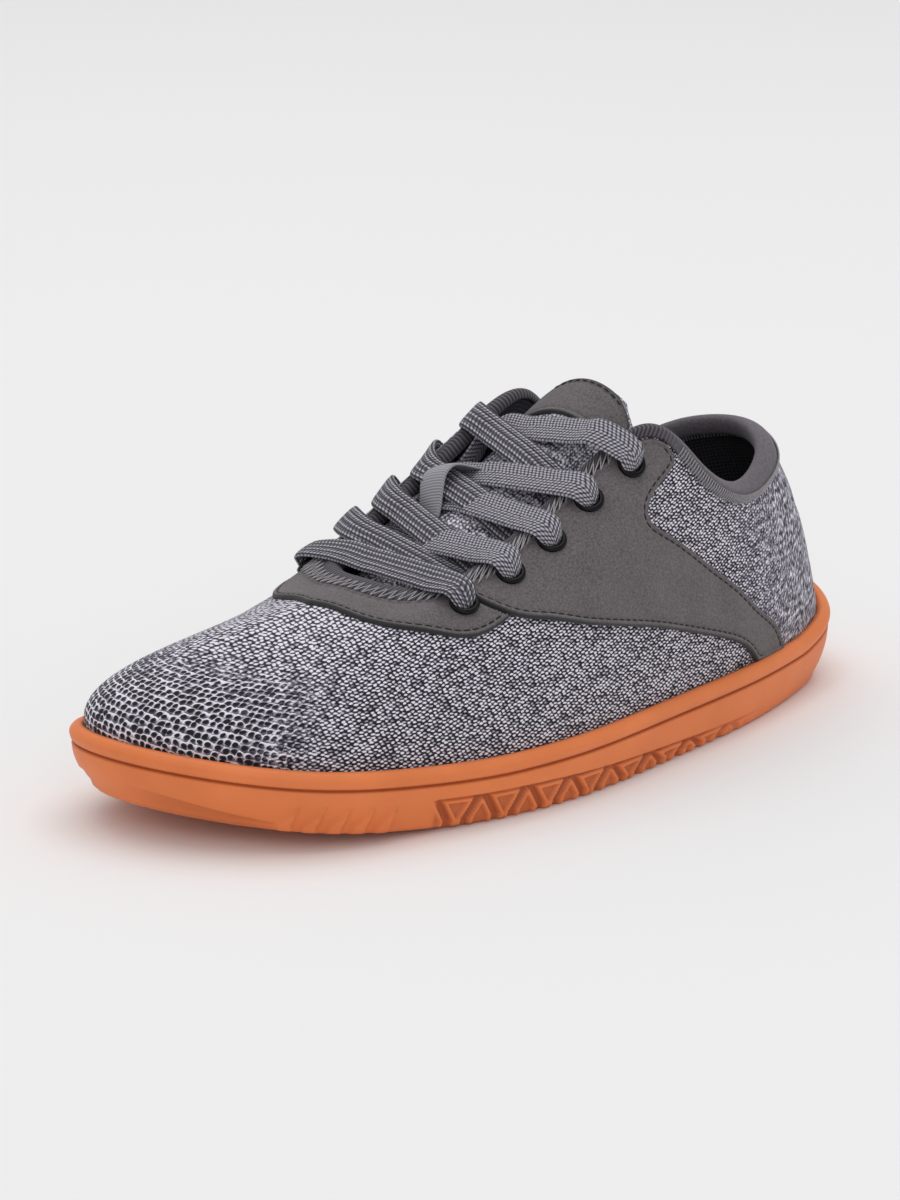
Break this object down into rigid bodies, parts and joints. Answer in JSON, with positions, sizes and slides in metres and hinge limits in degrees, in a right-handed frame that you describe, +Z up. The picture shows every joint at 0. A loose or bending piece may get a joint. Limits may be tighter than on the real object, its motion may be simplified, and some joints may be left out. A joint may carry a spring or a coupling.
{
  "type": "knit sneaker",
  "caption": "Left low-top knit sneaker with nubuck saddles, ribbed collar binding, lacing over a tongue and a moulded gum rubber cupsole.",
  "frame": {"origin": "on the floor, under the middle of the sole's box", "axes": "+Z up, +Y toward the heel, -Y toward the toe, +X toward the outer side of the left foot"},
  "size_m": [0.1099, 0.2814, 0.1101],
  "materials": {
    "gum_rubber": "matte",
    "grey_knit": "matte",
    "grey_nubuck": "matte",
    "ribbed_elastic": "matte",
    "dark_sock_lining": "matte",
    "light_webbing": "matte",
    "flat_lace": "matte",
    "black_enamel": "gloss"
  },
  "bodies": {
    "root": {"outsole": "gum_rubber", "insole": "dark_sock_lining", "upper": "grey_knit", "saddle_lateral": "grey_nubuck", "saddle_medial": "grey_nubuck", "vamp_stay": "grey_nubuck", "collar_binding": "ribbed_elastic", "tongue": "grey_knit", "tongue_facing": "grey_nubuck", "lace_keeper": "light_webbing", "eyelet_lateral_1": "black_enamel", "eyelet_lateral_2": "black_enamel", "eyelet_lateral_3": "black_enamel", "eyelet_lateral_4": "black_enamel", "eyelet_lateral_5": "black_enamel", "eyelet_medial_1": "black_enamel", "eyelet_medial_2": "black_enamel", "eyelet_medial_3": "black_enamel", "eyelet_medial_4": "black_enamel", "eyelet_medial_5": "black_enamel", "lace_bar": "flat_lace", "lace_crossing_2": "flat_lace", "lace_crossing_3": "flat_lace", "lace_crossing_4": "flat_lace", "lace_crossing_5": "flat_lace"}
  },
  "joints": []
}
